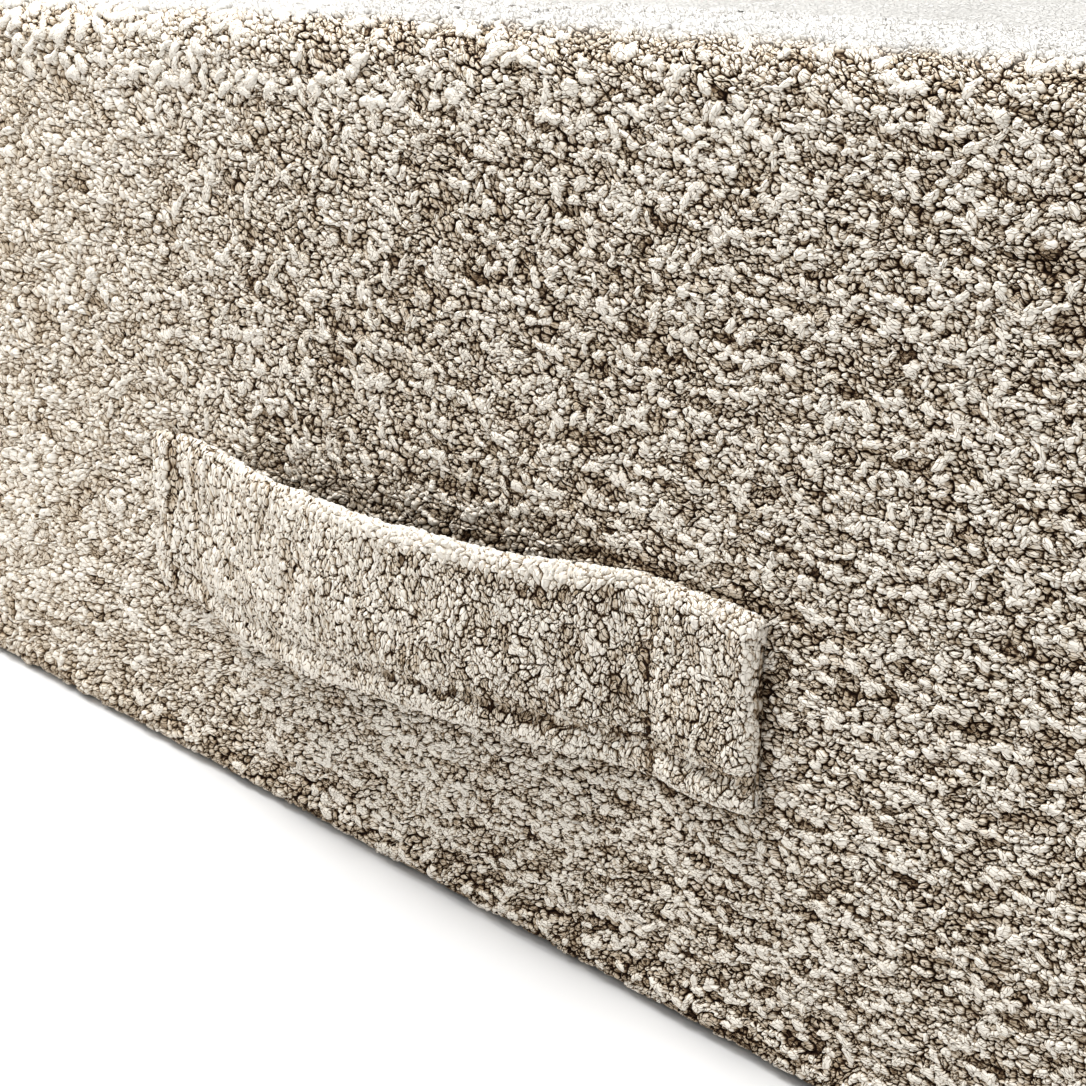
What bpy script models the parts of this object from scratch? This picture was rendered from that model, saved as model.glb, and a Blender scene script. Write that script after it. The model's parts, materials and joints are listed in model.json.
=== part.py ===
"""Jumping cushion: a square foam block in a thick boucle cover, with one carry handle of the same cloth sewn flat onto its front face.

Metres, +Z up. The cushion rests on z = 0 with its middle over the origin, and the handle is on the face that looks along -Y.
"""

import math

import bpy
import bmesh
from mathutils import Vector

# Cushion
SIDE = 0.800  # outer length and width, across the fullest part of the side faces
CORNER_HEIGHT = 0.2520  # height of the top face at the four corners
EDGE_LIFT = 0.0030  # how much higher the top stands at the middle of an edge
CROWN = 0.0050  # how much higher again it stands in the middle
SIDE_BELLY = 0.004  # how far the foam pushes each side face out in its middle
EDGE_RADIUS = 0.012  # rounding of the cover along its top edges and upright corners
BASE_POWER = 3.2  # how square the edges round the base are, where the foam presses the cover onto the floor: 2 would be round
FLAT_CELLS = 16  # faces across the flat part of a side
RISE_CELLS = 5  # faces up the flat part of a side
ARC_CELLS = 3  # faces over half of a rounded edge

# Handle
STAND_OFF = 0.0003  # gap between the sewn-down ends and the face
STATIONS = 64  # sections along the strap
ROLL_AT = 0.0095  # height of the stitch line above the strap's lower edge

# Stations along the strap, left to right. All in millimetres: place along the face, gap behind the strap, thickness, height of its lower edge, height of its upper edge.
STRAP_COLUMNS = ("along", "gap", "thick", "low", "high")
STRAP = (
    (-134.5, 0.3, 3.2, 63.0, 117.0),  # left end, cut edge turned under
    (-126.0, 0.3, 4.4, 62.0, 118.6),
    (-113.5, 0.3, 3.2, 61.2, 119.0),  # left row of stitches
    (-100.0, 1.2, 5.0, 60.0, 119.0),
    (-75.0, 4.4, 5.4, 57.6, 118.5),
    (-40.0, 9.2, 5.5, 59.2, 118.0),
    (0.0, 12.2, 5.5, 63.5, 118.8),
    (30.0, 12.8, 5.5, 66.5, 120.5),
    (60.0, 10.2, 5.5, 68.6, 121.8),
    (85.0, 4.8, 5.5, 69.0, 123.0),
    (104.0, 0.3, 4.0, 68.4, 123.5),  # right row of stitches
    (113.0, 0.3, 6.8, 68.2, 124.0),
    (129.0, 0.3, 8.0, 69.2, 123.6),
    (140.6, 0.3, 7.6, 70.2, 123.0),  # right end, folded double
)

# The strap's section, from its lower edge up its outer side to its upper edge: millimetres above the lower edge, or below the upper edge if negative, and the share of the thickness it stands out there.
SECTION_COLUMNS = ("height", "share")
SECTION = (
    (0.4, 0.36),
    (2.0, 0.68),
    (5.2, 0.80),
    (8.2, 0.66),
    (9.5, 0.52),  # the stitch line that closes the strip
    (11.2, 0.74),
    (15.0, 0.94),
    (24.0, 1.00),
    (-19.0, 1.00),
    (-9.0, 0.99),
    (-4.0, 0.92),
    (-1.4, 0.74),
    (-0.1, 0.46),
)
BACK = (
    (-0.9, 0.16),
    (-2.6, 0.0),
    (-16.0, 0.0),
    (16.0, 0.0),
    (2.6, 0.0),
    (0.9, 0.10),
)

BOUCLE = (0.402, 0.342, 0.275, 1.0)
BOUCLE_STRAP = (0.430, 0.368, 0.298, 1.0)


def clear_scene():
    for obj in list(bpy.data.objects):
        bpy.data.objects.remove(obj, do_unlink=True)


def cloth_material(name, colour):
    material = bpy.data.materials.new(name)
    material.use_nodes = True
    shader = material.node_tree.nodes["Principled BSDF"]
    shader.inputs["Base Color"].default_value = colour
    shader.inputs["Roughness"].default_value = 0.92
    shader.inputs["Metallic"].default_value = 0.0
    material.diffuse_color = colour
    return material


def new_object(name, bm, collection, material):
    bmesh.ops.recalc_face_normals(bm, faces=bm.faces)
    mesh = bpy.data.meshes.new(name)
    bm.to_mesh(mesh)
    bm.free()
    for polygon in mesh.polygons:
        polygon.use_smooth = True
    mesh.materials.append(material)
    obj = bpy.data.objects.new(name, mesh)
    collection.objects.link(obj)
    return obj


def swell(across, up):
    """How far a side face stands out from its edges. Both places run from -1 to 1 over the face."""
    return SIDE_BELLY * (1 - across**4) * (1 - up**4)


def top_height(x, y):
    a = min(abs(x) / (SIDE / 2), 1.0)
    b = min(abs(y) / (SIDE / 2), 1.0)
    edge = EDGE_LIFT * (1 - (a * b) ** 1.5)
    return CORNER_HEIGHT + edge + CROWN * (1 - a * a) * (1 - b * b)


def face_distance(x, z):
    """Distance of the front face's surface from the middle of the cushion at this place."""
    height = top_height(x, -SIDE / 2)
    return SIDE / 2 - SIDE_BELLY + swell(x / (SIDE / 2), 2 * z / height - 1)


def lines(half, radius, cells):
    """Places at which the starting block is cut along one axis: even over the flat part, closer over the rounded edges."""
    flat = half - radius
    inner = [-flat + 2 * flat * i / cells for i in range(cells + 1)]
    outer = [flat + radius * i / ARC_CELLS for i in range(1, ARC_CELLS)]
    return [-p for p in outer] + inner + outer


def build_cushion(collection, material):
    half = SIDE / 2 - SIDE_BELLY
    rise = CORNER_HEIGHT / 2
    bm = bmesh.new()
    bmesh.ops.create_cube(bm, size=2.0)
    bmesh.ops.scale(bm, vec=(half, half, rise), verts=bm.verts)
    for axis, places in (
        (Vector((1, 0, 0)), lines(half, EDGE_RADIUS, FLAT_CELLS)),
        (Vector((0, 1, 0)), lines(half, EDGE_RADIUS, FLAT_CELLS)),
        (Vector((0, 0, 1)), lines(rise, EDGE_RADIUS, RISE_CELLS)),
    ):
        for place in places:
            bmesh.ops.bisect_plane(
                bm,
                geom=bm.verts[:] + bm.edges[:] + bm.faces[:],
                dist=1e-6,
                plane_co=axis * place,
                plane_no=axis,
            )
    for vert in bm.verts:
        vert.co = cushion_place(vert.co, half, rise)
    return new_object("cushion", bm, collection, material)


def cushion_place(p, half, rise):
    """Takes a point of the plain block to the filled cushion: rounded edges, sides pushed out by the foam, crowned top and flat base."""
    flat = (half - EDGE_RADIUS, half - EDGE_RADIUS, rise - EDGE_RADIUS)
    core = Vector([max(-f, min(f, c)) for c, f in zip(p, flat)])
    out = (p - core).normalized()
    if out.z < 0:
        level = math.hypot(out.x, out.y)
        if level > 1e-9:
            wider = level ** (2 / BASE_POWER) / level
            out.x, out.y = out.x * wider, out.y * wider
        out.z = -((-out.z) ** (2 / BASE_POWER))
    q = core + out * EDGE_RADIUS
    up = q.z / rise
    x, y = q.x, q.y
    x += math.copysign(swell(y / half, up) * min(abs(x) / half, 1.0) ** 8, x)
    y += math.copysign(swell(q.x / half, up) * min(abs(y) / half, 1.0) ** 8, y)
    return Vector((x, y, (q.z + rise) / (2 * rise) * top_height(x, y)))


def smooth_row(table, columns, t):
    """The table's row at fraction t of the way along it, with an even curve through its rows."""
    first = table[0][0]
    last = table[-1][0]
    along = first + (last - first) * t
    k = max(i for i in range(len(table) - 1) if table[i][0] <= along + 1e-9)
    a, b = table[k], table[k + 1]
    before = table[k - 1] if k > 0 else None
    after = table[k + 2] if k + 2 < len(table) else None
    span = b[0] - a[0]
    s = (along - a[0]) / span
    row = {columns[0]: along}
    for i, name in enumerate(columns[1:], 1):
        straight = (b[i] - a[i]) / span
        slopes = []
        for near, far in ((before, a), (b, after)):
            if near is None or far is None:
                slopes.append(straight)
                continue
            other = (far[i] - near[i]) / (far[0] - near[0])
            agree = other * straight > 0
            slopes.append(2 * other * straight / (other + straight) if agree else 0.0)
        h1 = 2 * s**3 - 3 * s**2 + 1
        h2 = s**3 - 2 * s**2 + s
        h3 = -2 * s**3 + 3 * s**2
        h4 = s**3 - s**2
        row[name] = h1 * a[i] + h2 * span * slopes[0] + h3 * b[i] + h4 * span * slopes[1]
    return row


def strap_section(row):
    """One closed loop of points round the strap, in metres."""
    low, high = row["low"], row["high"]
    loop = []
    for height, share in SECTION + BACK:
        z = (low + height if height > 0 else high + height) / 1000
        x = row["along"] / 1000
        inner = face_distance(x, z) + max(row["gap"] / 1000, STAND_OFF)
        loop.append(Vector((x, -(inner + share * row["thick"] / 1000), z)))
    return loop


def build_handle(collection, material):
    bm = bmesh.new()
    loops = []
    for i in range(STATIONS + 1):
        row = smooth_row(STRAP, STRAP_COLUMNS, i / STATIONS)
        # The turned ends are softly rounded.
        end = min(i, STATIONS - i)
        ease = (0.62, 0.86, 0.97)[end] if end < 3 else 1.0
        row["thick"] *= ease
        row["low"] += (1 - ease) * 4
        row["high"] -= (1 - ease) * 4
        loops.append([bm.verts.new(p) for p in strap_section(row)])
    around = len(loops[0])
    for a, b in zip(loops, loops[1:]):
        for i in range(around):
            j = (i + 1) % around
            bm.faces.new((a[i], a[j], b[j], b[i]))
    for loop in (loops[0], loops[-1]):
        centre = sum((v.co for v in loop), Vector()) / around
        hub = bm.verts.new(centre)
        for i in range(around):
            bm.faces.new((loop[i], loop[(i + 1) % around], hub))
    return new_object("handle", bm, collection, material)


def main():
    clear_scene()
    collection = bpy.data.collections.new("jumping_cushion")
    bpy.context.scene.collection.children.link(collection)
    build_cushion(collection, cloth_material("boucle_cover", BOUCLE))
    build_handle(collection, cloth_material("boucle_strap", BOUCLE_STRAP))


main()
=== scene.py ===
import json
import math

import bpy
import numpy as np
from mathutils import Matrix, Vector

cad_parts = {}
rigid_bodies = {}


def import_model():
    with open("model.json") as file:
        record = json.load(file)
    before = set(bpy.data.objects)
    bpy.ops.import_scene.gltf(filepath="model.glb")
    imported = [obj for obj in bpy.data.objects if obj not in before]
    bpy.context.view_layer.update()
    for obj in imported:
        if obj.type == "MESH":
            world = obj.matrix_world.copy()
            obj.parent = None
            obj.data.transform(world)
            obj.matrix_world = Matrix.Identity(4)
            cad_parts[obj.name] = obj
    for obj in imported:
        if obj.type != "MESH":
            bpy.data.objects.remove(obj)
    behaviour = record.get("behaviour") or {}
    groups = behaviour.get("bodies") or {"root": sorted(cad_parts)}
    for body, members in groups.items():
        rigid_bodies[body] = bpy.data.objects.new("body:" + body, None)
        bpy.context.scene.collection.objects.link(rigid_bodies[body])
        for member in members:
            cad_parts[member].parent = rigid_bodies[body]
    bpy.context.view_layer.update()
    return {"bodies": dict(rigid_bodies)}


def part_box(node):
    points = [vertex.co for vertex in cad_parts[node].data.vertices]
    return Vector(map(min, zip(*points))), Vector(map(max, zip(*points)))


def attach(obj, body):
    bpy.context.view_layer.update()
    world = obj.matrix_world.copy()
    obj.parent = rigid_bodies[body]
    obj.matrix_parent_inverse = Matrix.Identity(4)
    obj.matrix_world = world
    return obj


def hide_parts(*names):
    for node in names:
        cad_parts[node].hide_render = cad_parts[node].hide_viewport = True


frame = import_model()
C_LO, C_HI = (np.array(v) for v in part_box("cushion"))
H_LO, H_HI = (np.array(v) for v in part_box("handle"))
ROOT = list(frame["bodies"])[0]
rng = np.random.default_rng(20)

# ---------------------------------------------------------------- the cover's surface
# The same filled block as the CAD solid: a plain block taken to rounded edges, sides pushed out by the foam, a crowned top and a flat base.
HALF_OUT = float(C_HI[0] - C_LO[0]) / 2
BELLY = 0.004
EDGE_LIFT = 0.0030
CROWN = 0.0050
LOW_TOP = float(C_HI[2]) - EDGE_LIFT - CROWN
R = 0.012
HALF = HALF_OUT - BELLY
RISE = LOW_TOP / 2
FLAT_A = HALF - R  # half the flat width of a face
FLAT_S = 2 * (RISE - R)  # height of the flat part of the front
ARC = R * math.pi / 2
BASE_POWER = 3.2  # the edges round the base are squarer than the others
BASE_T = np.linspace(0, 1, 400) ** 5 * math.pi / 2
BASE_RUN = np.concatenate([[0], np.cumsum(np.hypot(*np.diff([np.cos(BASE_T) ** (2 / BASE_POWER), np.sin(BASE_T) ** (2 / BASE_POWER)])))]) * R
BASE_LEN = float(BASE_RUN[-1])


def swell(across, up):
    return BELLY * (1 - across**4) * (1 - up**4)


def top_height(x, y):
    a = np.minimum(np.abs(x) / HALF_OUT, 1)
    b = np.minimum(np.abs(y) / HALF_OUT, 1)
    return LOW_TOP + EDGE_LIFT * (1 - (a * b) ** 1.5) + CROWN * (1 - a * a) * (1 - b * b)


def filled(p):
    """Points of the plain block's surface, taken to the filled cushion."""
    flat = np.array([HALF - R, HALF - R, RISE - R])
    core = np.clip(p, -flat, flat)
    d = p - core
    d = d / np.linalg.norm(d, axis=1, keepdims=True)
    level = np.hypot(d[:, 0], d[:, 1])
    wider = np.where(d[:, 2] < 0, np.maximum(level, 1e-9) ** (2 / BASE_POWER - 1), 1)
    d[:, :2] *= np.where(level > 1e-9, wider, 1)[:, None]
    d[:, 2] = np.where(d[:, 2] < 0, -(np.abs(d[:, 2]) ** (2 / BASE_POWER)), d[:, 2])
    q = core + d * R
    up = q[:, 2] / RISE
    x, y = q[:, 0], q[:, 1]
    px = swell(y / HALF, up) * np.minimum(np.abs(x) / HALF, 1) ** 8
    py = swell(x / HALF, up) * np.minimum(np.abs(y) / HALF, 1) ** 8
    x = x + np.copysign(px, x)
    y = y + np.copysign(py, y)
    return np.stack([x, y, (q[:, 2] + RISE) / (2 * RISE) * top_height(x, y)], 1)


def waves(seed, count, low, high):
    """Random smooth ups and downs, from a sum of waves between two lengths."""
    r = np.random.default_rng(seed)
    k = r.normal(size=(count, 3))
    k /= np.linalg.norm(k, axis=1, keepdims=True)
    k *= (2 * math.pi / r.uniform(low, high, count))[:, None]
    shift = r.uniform(0, 2 * math.pi, count)

    def at(p):
        return np.sin(p @ k.T + shift).sum(1) / math.sqrt(count / 2)

    return at


slack_wide = waves(3, 14, 0.16, 0.34)
slack_fine = waves(4, 18, 0.045, 0.090)


def relief(p):
    """How far the slack in the cover lifts it off the foam, in metres."""
    lift = 0.00022 * slack_wide(p) + 0.00009 * slack_fine(p)
    # No slack where the base lies on the floor.
    return lift * np.clip((p[:, 2] - 0.002) / 0.02, 0, 1)


def block_point(a, s):
    """A place on the unrolled cover, as a point of the plain block. a runs along the front from its middle and s up it from the start of its flat part, over the rounded top edge and back over the top."""
    a, s = np.asarray(a, float), np.asarray(s, float)
    p = np.empty((len(a), 3))
    over_a = np.abs(a) - FLAT_A
    turn_a = np.clip(over_a / R, 0, math.pi / 2)
    x = np.where(over_a > 0, FLAT_A + R * np.tan(np.minimum(turn_a, math.pi / 4)), np.abs(a))
    p[:, 0] = np.copysign(x, a)
    low = np.interp(-s, BASE_RUN, BASE_T)
    high = np.clip((s - FLAT_S) / R, 0, math.pi / 2)
    z = -RISE + R + np.clip(s, 0, FLAT_S)
    z = z - R * np.tan(np.minimum(low, math.pi / 4)) + R * np.tan(np.minimum(high, math.pi / 4))
    z = np.maximum(z, -RISE)
    p[:, 2] = z
    p[:, 1] = -HALF
    on_top = high > math.pi / 4
    back = FLAT_A + R * np.tan(math.pi / 2 - np.maximum(high, math.pi / 4))
    beyond = np.maximum(s - FLAT_S - ARC, 0)
    p[:, 1] = np.where(on_top, -(np.where(beyond > 0, FLAT_A - beyond, back)), p[:, 1])
    p[:, 2] = np.where(on_top, RISE, p[:, 2])
    under = low > math.pi / 4
    p[:, 1] = np.where(under, -(FLAT_A + R * np.tan(math.pi / 2 - np.maximum(low, math.pi / 4))), p[:, 1])
    p[:, 2] = np.where(under, -RISE, p[:, 2])
    side = (turn_a > math.pi / 4) & ~on_top & ~under
    along = FLAT_A + R * np.tan(math.pi / 2 - np.maximum(turn_a, math.pi / 4))
    beyond_a = np.maximum(over_a - ARC, 0)
    along = np.where(beyond_a > 0, FLAT_A - beyond_a, along)
    p[:, 0] = np.where(side, np.copysign(HALF, a), p[:, 0])
    p[:, 1] = np.where(side, -along, p[:, 1])
    return p


def front_cover(a, s):
    """Point, and unit directions along, up and out, of the cover at each unrolled place."""
    def at(a, s):
        q = filled(block_point(a, s))
        return q

    e = 2e-4
    p = at(a, s)
    da = at(a + e, s) - at(a - e, s)
    ds = at(a, s + e) - at(a, s - e)
    n = np.cross(da, ds)
    n /= np.maximum(np.linalg.norm(n, axis=1, keepdims=True), 1e-12)
    # The slack cover: its tilt changes the way each loop faces.
    h = relief(p)
    step = 1e-3
    ta = da / np.maximum(np.linalg.norm(da, axis=1, keepdims=True), 1e-12)
    tb = np.cross(n, ta)
    ga = (relief(p + ta * step) - h) / step
    gb = (relief(p + tb * step) - h) / step
    m = n - ta * ga[:, None] - tb * gb[:, None]
    m /= np.linalg.norm(m, axis=1, keepdims=True)
    ta = ta - m * (ta * m).sum(1, keepdims=True)
    ta /= np.linalg.norm(ta, axis=1, keepdims=True)
    return p + n * h[:, None], ta, np.cross(m, ta), m


# ---------------------------------------------------------------- loops of yarn
# The pile is a field of small domed cells that touch. They gather in clumps, like the curls of the real yarn: a deep groove runs round a clump, a shallow one between its lobes, and some lobes run together into one bent strand.
def waves2(seed, count, low, high, stretch=1.0):
    """Random smooth ups and downs over a plane. stretch makes them longer along the first axis."""
    r = np.random.default_rng(seed)
    t = r.uniform(0, 2 * math.pi, count)
    k = np.stack([np.cos(t) / stretch, np.sin(t)], 1) * (2 * math.pi / r.uniform(low, high, count))[:, None]
    shift = r.uniform(0, 2 * math.pi, count)

    def at(u, v):
        out = np.zeros(np.broadcast(u, v).shape)
        for (kx, ky), c in zip(k, shift):
            out += np.sin(kx * u + ky * v + c)
        return out / math.sqrt(count / 2)

    return at


def smooth(x, low, high):
    t = np.clip((x - low) / (high - low), 0, 1)
    return t * t * (3 - 2 * t)


def hashed(key, salt):
    """An even random number from 0 to 1 for each whole number."""
    x = (key.astype(np.uint64) + np.uint64(salt) * np.uint64(0x9E3779B97F4A7C15)) & np.uint64(0xFFFFFFFFFFFFFFFF)
    x ^= x >> np.uint64(31)
    x *= np.uint64(0x7FB5D329728EA185)
    x ^= x >> np.uint64(27)
    x *= np.uint64(0x81DADEF4BC2DD44D)
    x ^= x >> np.uint64(33)
    return x.astype(np.float64) / 18446744073709551616.0


ROW = math.sqrt(0.75)
AROUND = {
    0: [(0, -2), (0, -1), (0, 1), (0, 2)] + [(j, i) for j in (-1, 1) for i in (-2, -1, 0, 1)] + [(j, i) for j in (-2, 2) for i in (-1, 0, 1)],
    1: [(0, -2), (0, -1), (0, 1), (0, 2)] + [(j, i) for j in (-1, 1) for i in (-1, 0, 1, 2)] + [(j, i) for j in (-2, 2) for i in (-1, 0, 1)],
}


class Cells:
    """Touching cells over a part of the plane (u, v), about one unit apart, gathered in clumps.

    course(u, v) is the direction in which the yarn runs, as an angle. clump is the spacing of the clumps, reach(u, v) how long and how wide they are along and across the course."""

    def __init__(self, u0, u1, v0, v1, course, seed, clump=(1.9, 1.65), reach=None, jitter=0.40, merge=0.55, longest=4, keep=None):
        r = np.random.default_rng(seed)
        rows = int((v1 - v0) / ROW) + 6
        cols = int(u1 - u0) + 6
        jj, ii = np.mgrid[0:rows, 0:cols]
        grid = np.stack([u0 - 2.5 + ii + 0.5 * (jj % 2), v0 - 2.5 + jj * ROW], -1)
        turn = r.uniform(0, 2 * math.pi, grid.shape[:2])
        far = jitter * np.sqrt(r.uniform(0, 1, grid.shape[:2]))
        grid = grid + np.stack([np.cos(turn), np.sin(turn)], -1) * far[..., None]
        ids = np.arange(rows * cols).reshape(rows, cols)
        inner = np.zeros((rows, cols), bool)
        inner[2:-2, 2:-2] = True
        if keep is not None:
            inner &= keep(grid[..., 0], grid[..., 1])
        site_row, site_col = np.nonzero(inner)
        n = len(site_row)
        nb = np.empty((n, 18), np.int64)
        for odd in (0, 1):
            m = site_row % 2 == odd
            off = np.array(AROUND[odd])
            nb[m] = ids[site_row[m, None] + off[None, :, 0], site_col[m, None] + off[None, :, 1]]
        flat = grid.reshape(-1, 2)
        own = ids[site_row, site_col]
        self.site = flat[own]
        d = flat[nb] - self.site[:, None]
        c = (d * d).sum(-1) / 2
        pa, pb = np.triu_indices(18, 1)
        who, pair, where = [], [], []
        for k in range(0, n, 4000):
            dd, cc = d[k:k + 4000], c[k:k + 4000]
            ax, ay, bx, by = dd[:, pa, 0], dd[:, pa, 1], dd[:, pb, 0], dd[:, pb, 1]
            det = ax * by - ay * bx
            det = np.where(np.abs(det) < 1e-9, 1e-9, det)
            x = (cc[:, pa] * by - cc[:, pb] * ay) / det
            y = (ax * cc[:, pb] - bx * cc[:, pa]) / det
            good = np.ones(x.shape, bool)
            for q in range(18):
                good &= dd[:, q:q + 1, 0] * x + dd[:, q:q + 1, 1] * y <= cc[:, q:q + 1] + 1e-7
            i, j = np.nonzero(good)
            who.append(i + k)
            pair.append(j)
            where.append(np.stack([x[i, j], y[i, j]], 1))
        who, pair, where = np.concatenate(who), np.concatenate(pair), np.concatenate(where)
        order = np.lexsort((np.arctan2(where[:, 1], where[:, 0]), who))
        who, pair, where = who[order], pair[order], where[order]
        count = np.bincount(who, minlength=n)
        first = np.concatenate([[0], np.cumsum(count)[:-1]])
        nxt = np.arange(len(who)) + 1
        last = first + count - 1
        nxt[last[count > 0]] = first[count > 0]
        prev = np.empty(len(who), np.int64)
        prev[nxt] = np.arange(len(who))
        a0, b0, a1, b1 = pa[pair], pb[pair], pa[pair[nxt]], pb[pair[nxt]]
        slot = np.where((a0 == a1) | (a0 == b1), a0, b0)
        index_of = np.full(rows * cols, -1)
        index_of[own] = np.arange(n)
        other = index_of[nb[who, slot]]  # the cell across the edge that starts at this corner
        self.n, self.corner, self.count, self.first = n, where, count, first
        self.who, self.other, self.prev = who, other, prev
        # Clumps: each cell joins the nearest clump centre, measured along and across the yarn.
        cu, cv = clump
        crow, ccol = int((v1 - v0 + 16) / cv), int((u1 - u0 + 16) / cu)
        cj, ci = np.mgrid[0:crow, 0:ccol]
        centre = np.stack([u0 - 8 + (ci + 0.5 * (cj % 2)) * cu, v0 - 8 + cj * cv], -1)
        centre = centre + r.uniform(-0.42, 0.42, centre.shape) * np.array([cu, cv])
        lead = course(centre[..., 0], centre[..., 1])
        long, wide = reach(centre[..., 0], centre[..., 1]) if reach else (1.2, 0.85)
        long, wide = np.broadcast_to(long, lead.shape), np.broadcast_to(wide, lead.shape)
        weight = r.uniform(-0.45, 0.45, lead.shape)
        nj = np.round((self.site[:, 1] - v0 + 8) / cv).astype(int)
        ni = np.round((self.site[:, 0] - u0 + 8) / cu).astype(int)
        best, which = np.full(n, 1e9), np.zeros(n, np.int64)
        for oj in range(-3, 4):
            for oi in range(-3, 4):
                tj, ti = np.clip(nj + oj, 0, crow - 1), np.clip(ni + oi, 0, ccol - 1)
                dv = self.site - centre[tj, ti]
                co, si = np.cos(lead[tj, ti]), np.sin(lead[tj, ti])
                dist = np.hypot((dv[:, 0] * co + dv[:, 1] * si) / long[tj, ti], (-dv[:, 0] * si + dv[:, 1] * co) / wide[tj, ti]) - weight[tj, ti]
                better = dist < best
                best = np.where(better, dist, best)
                which = np.where(better, tj * ccol + ti, which)
        self.clump, self.off = which, best
        self.lead = lead.reshape(-1)[which]
        self.middle = centre.reshape(-1, 2)[which]
        # Lobes that run together.
        edge = np.flatnonzero(other > who)
        one, two = who[edge], other[edge]
        vec = self.site[two] - self.site[one]
        along = np.abs(np.cos(np.arctan2(vec[:, 1], vec[:, 0]) - self.lead[one]))
        chance = r.uniform(0, 1, len(edge))
        wish = (self.clump[one] == self.clump[two]) & (along > 0.70) & (chance < merge)
        rank = np.argsort(chance - along)
        root, many, joined = list(range(n)), [1] * n, [0] * n

        def find(i):
            while root[i] != i:
                root[i] = root[root[i]]
                i = root[i]
            return i

        pairs = set()
        ew, eo, ok = one.tolist(), two.tolist(), wish.tolist()
        for k in rank.tolist():
            if not ok[k]:
                continue
            i, j = ew[k], eo[k]
            if joined[i] > 1 or joined[j] > 1:
                continue
            p, q = find(i), find(j)
            if p == q or many[p] + many[q] > longest:
                continue
            root[q] = p
            many[p] += many[q]
            joined[i] += 1
            joined[j] += 1
            pairs.add((i, j))
        self.curl = np.array([find(i) for i in range(n)])
        self.key = self.pair_key(who, other)
        wanted = np.array(sorted(i * (n + 1) + j for i, j in pairs), dtype=np.int64)
        self.merged = np.isin(self.key, wanted)
        self.big = None  # cells of the clumps that are one fat lobe
        self.wx, self.wy = waves2(seed + 1, 12, 1.9, 3.8), waves2(seed + 2, 12, 1.9, 3.8)
        self.bx, self.by = waves2(seed + 3, 12, 6, 13), waves2(seed + 4, 12, 6, 13)

    def pair_key(self, i, j):
        return np.where((i >= 0) & (j >= 0), np.minimum(i, j) * (self.n + 1) + np.maximum(i, j), 0)

    def warp(self, q, swirl=0.20, swell=0.30):
        x, y = q[..., 0], q[..., 1]
        return q + swirl * np.stack([self.wx(x, y), self.wy(x, y)], -1) + swell * np.stack([self.bx(x, y), self.by(x, y)], -1)

    def level(self, i, j, merged, knit):
        """How high the saddle between two cells stands, as a share of their height."""
        r = hashed(self.pair_key(i, j), 3)
        a, b = np.maximum(i, 0), np.maximum(j, 0)
        same = (self.clump[a] == self.clump[b]) & (i >= 0) & (j >= 0)
        out = np.where(same, 0.28 + 0.40 * r, 0.20 * r * r)
        out = out + (0.62 - out) * knit * 0.9
        if self.big is not None:
            out = np.where(same & self.big[a], 0.97, out)
        return np.where(merged, 0.92, out)

    def heights(self, h, knit):
        """Heights of the edges' middles and of the corners, the same from either side."""
        i, j = self.who, self.other
        jj = np.where(j >= 0, j, i)
        self.z_mid = 0.5 * (h[i] + h[jj]) * self.level(i, j, self.merged, knit[i])
        k = self.other[self.prev]
        kk = np.where(k >= 0, k, i)
        none = np.zeros(len(i), bool)
        low = np.minimum(self.level(i, j, none, knit[i]), self.level(i, k, none, knit[i]))
        low = np.minimum(low, self.level(j, k, none, knit[i]))
        low = low * 0.8 * (1 - 0.9 * knit[i])
        if self.big is not None:
            one = self.big[i] & (j >= 0) & (k >= 0) & (self.clump[i] == self.clump[jj]) & (self.clump[i] == self.clump[kk])
            low = np.where(one, 0.94, low)
        self.z_corner = (h[i] + h[jj] + h[kk]) / 3 * low


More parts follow.
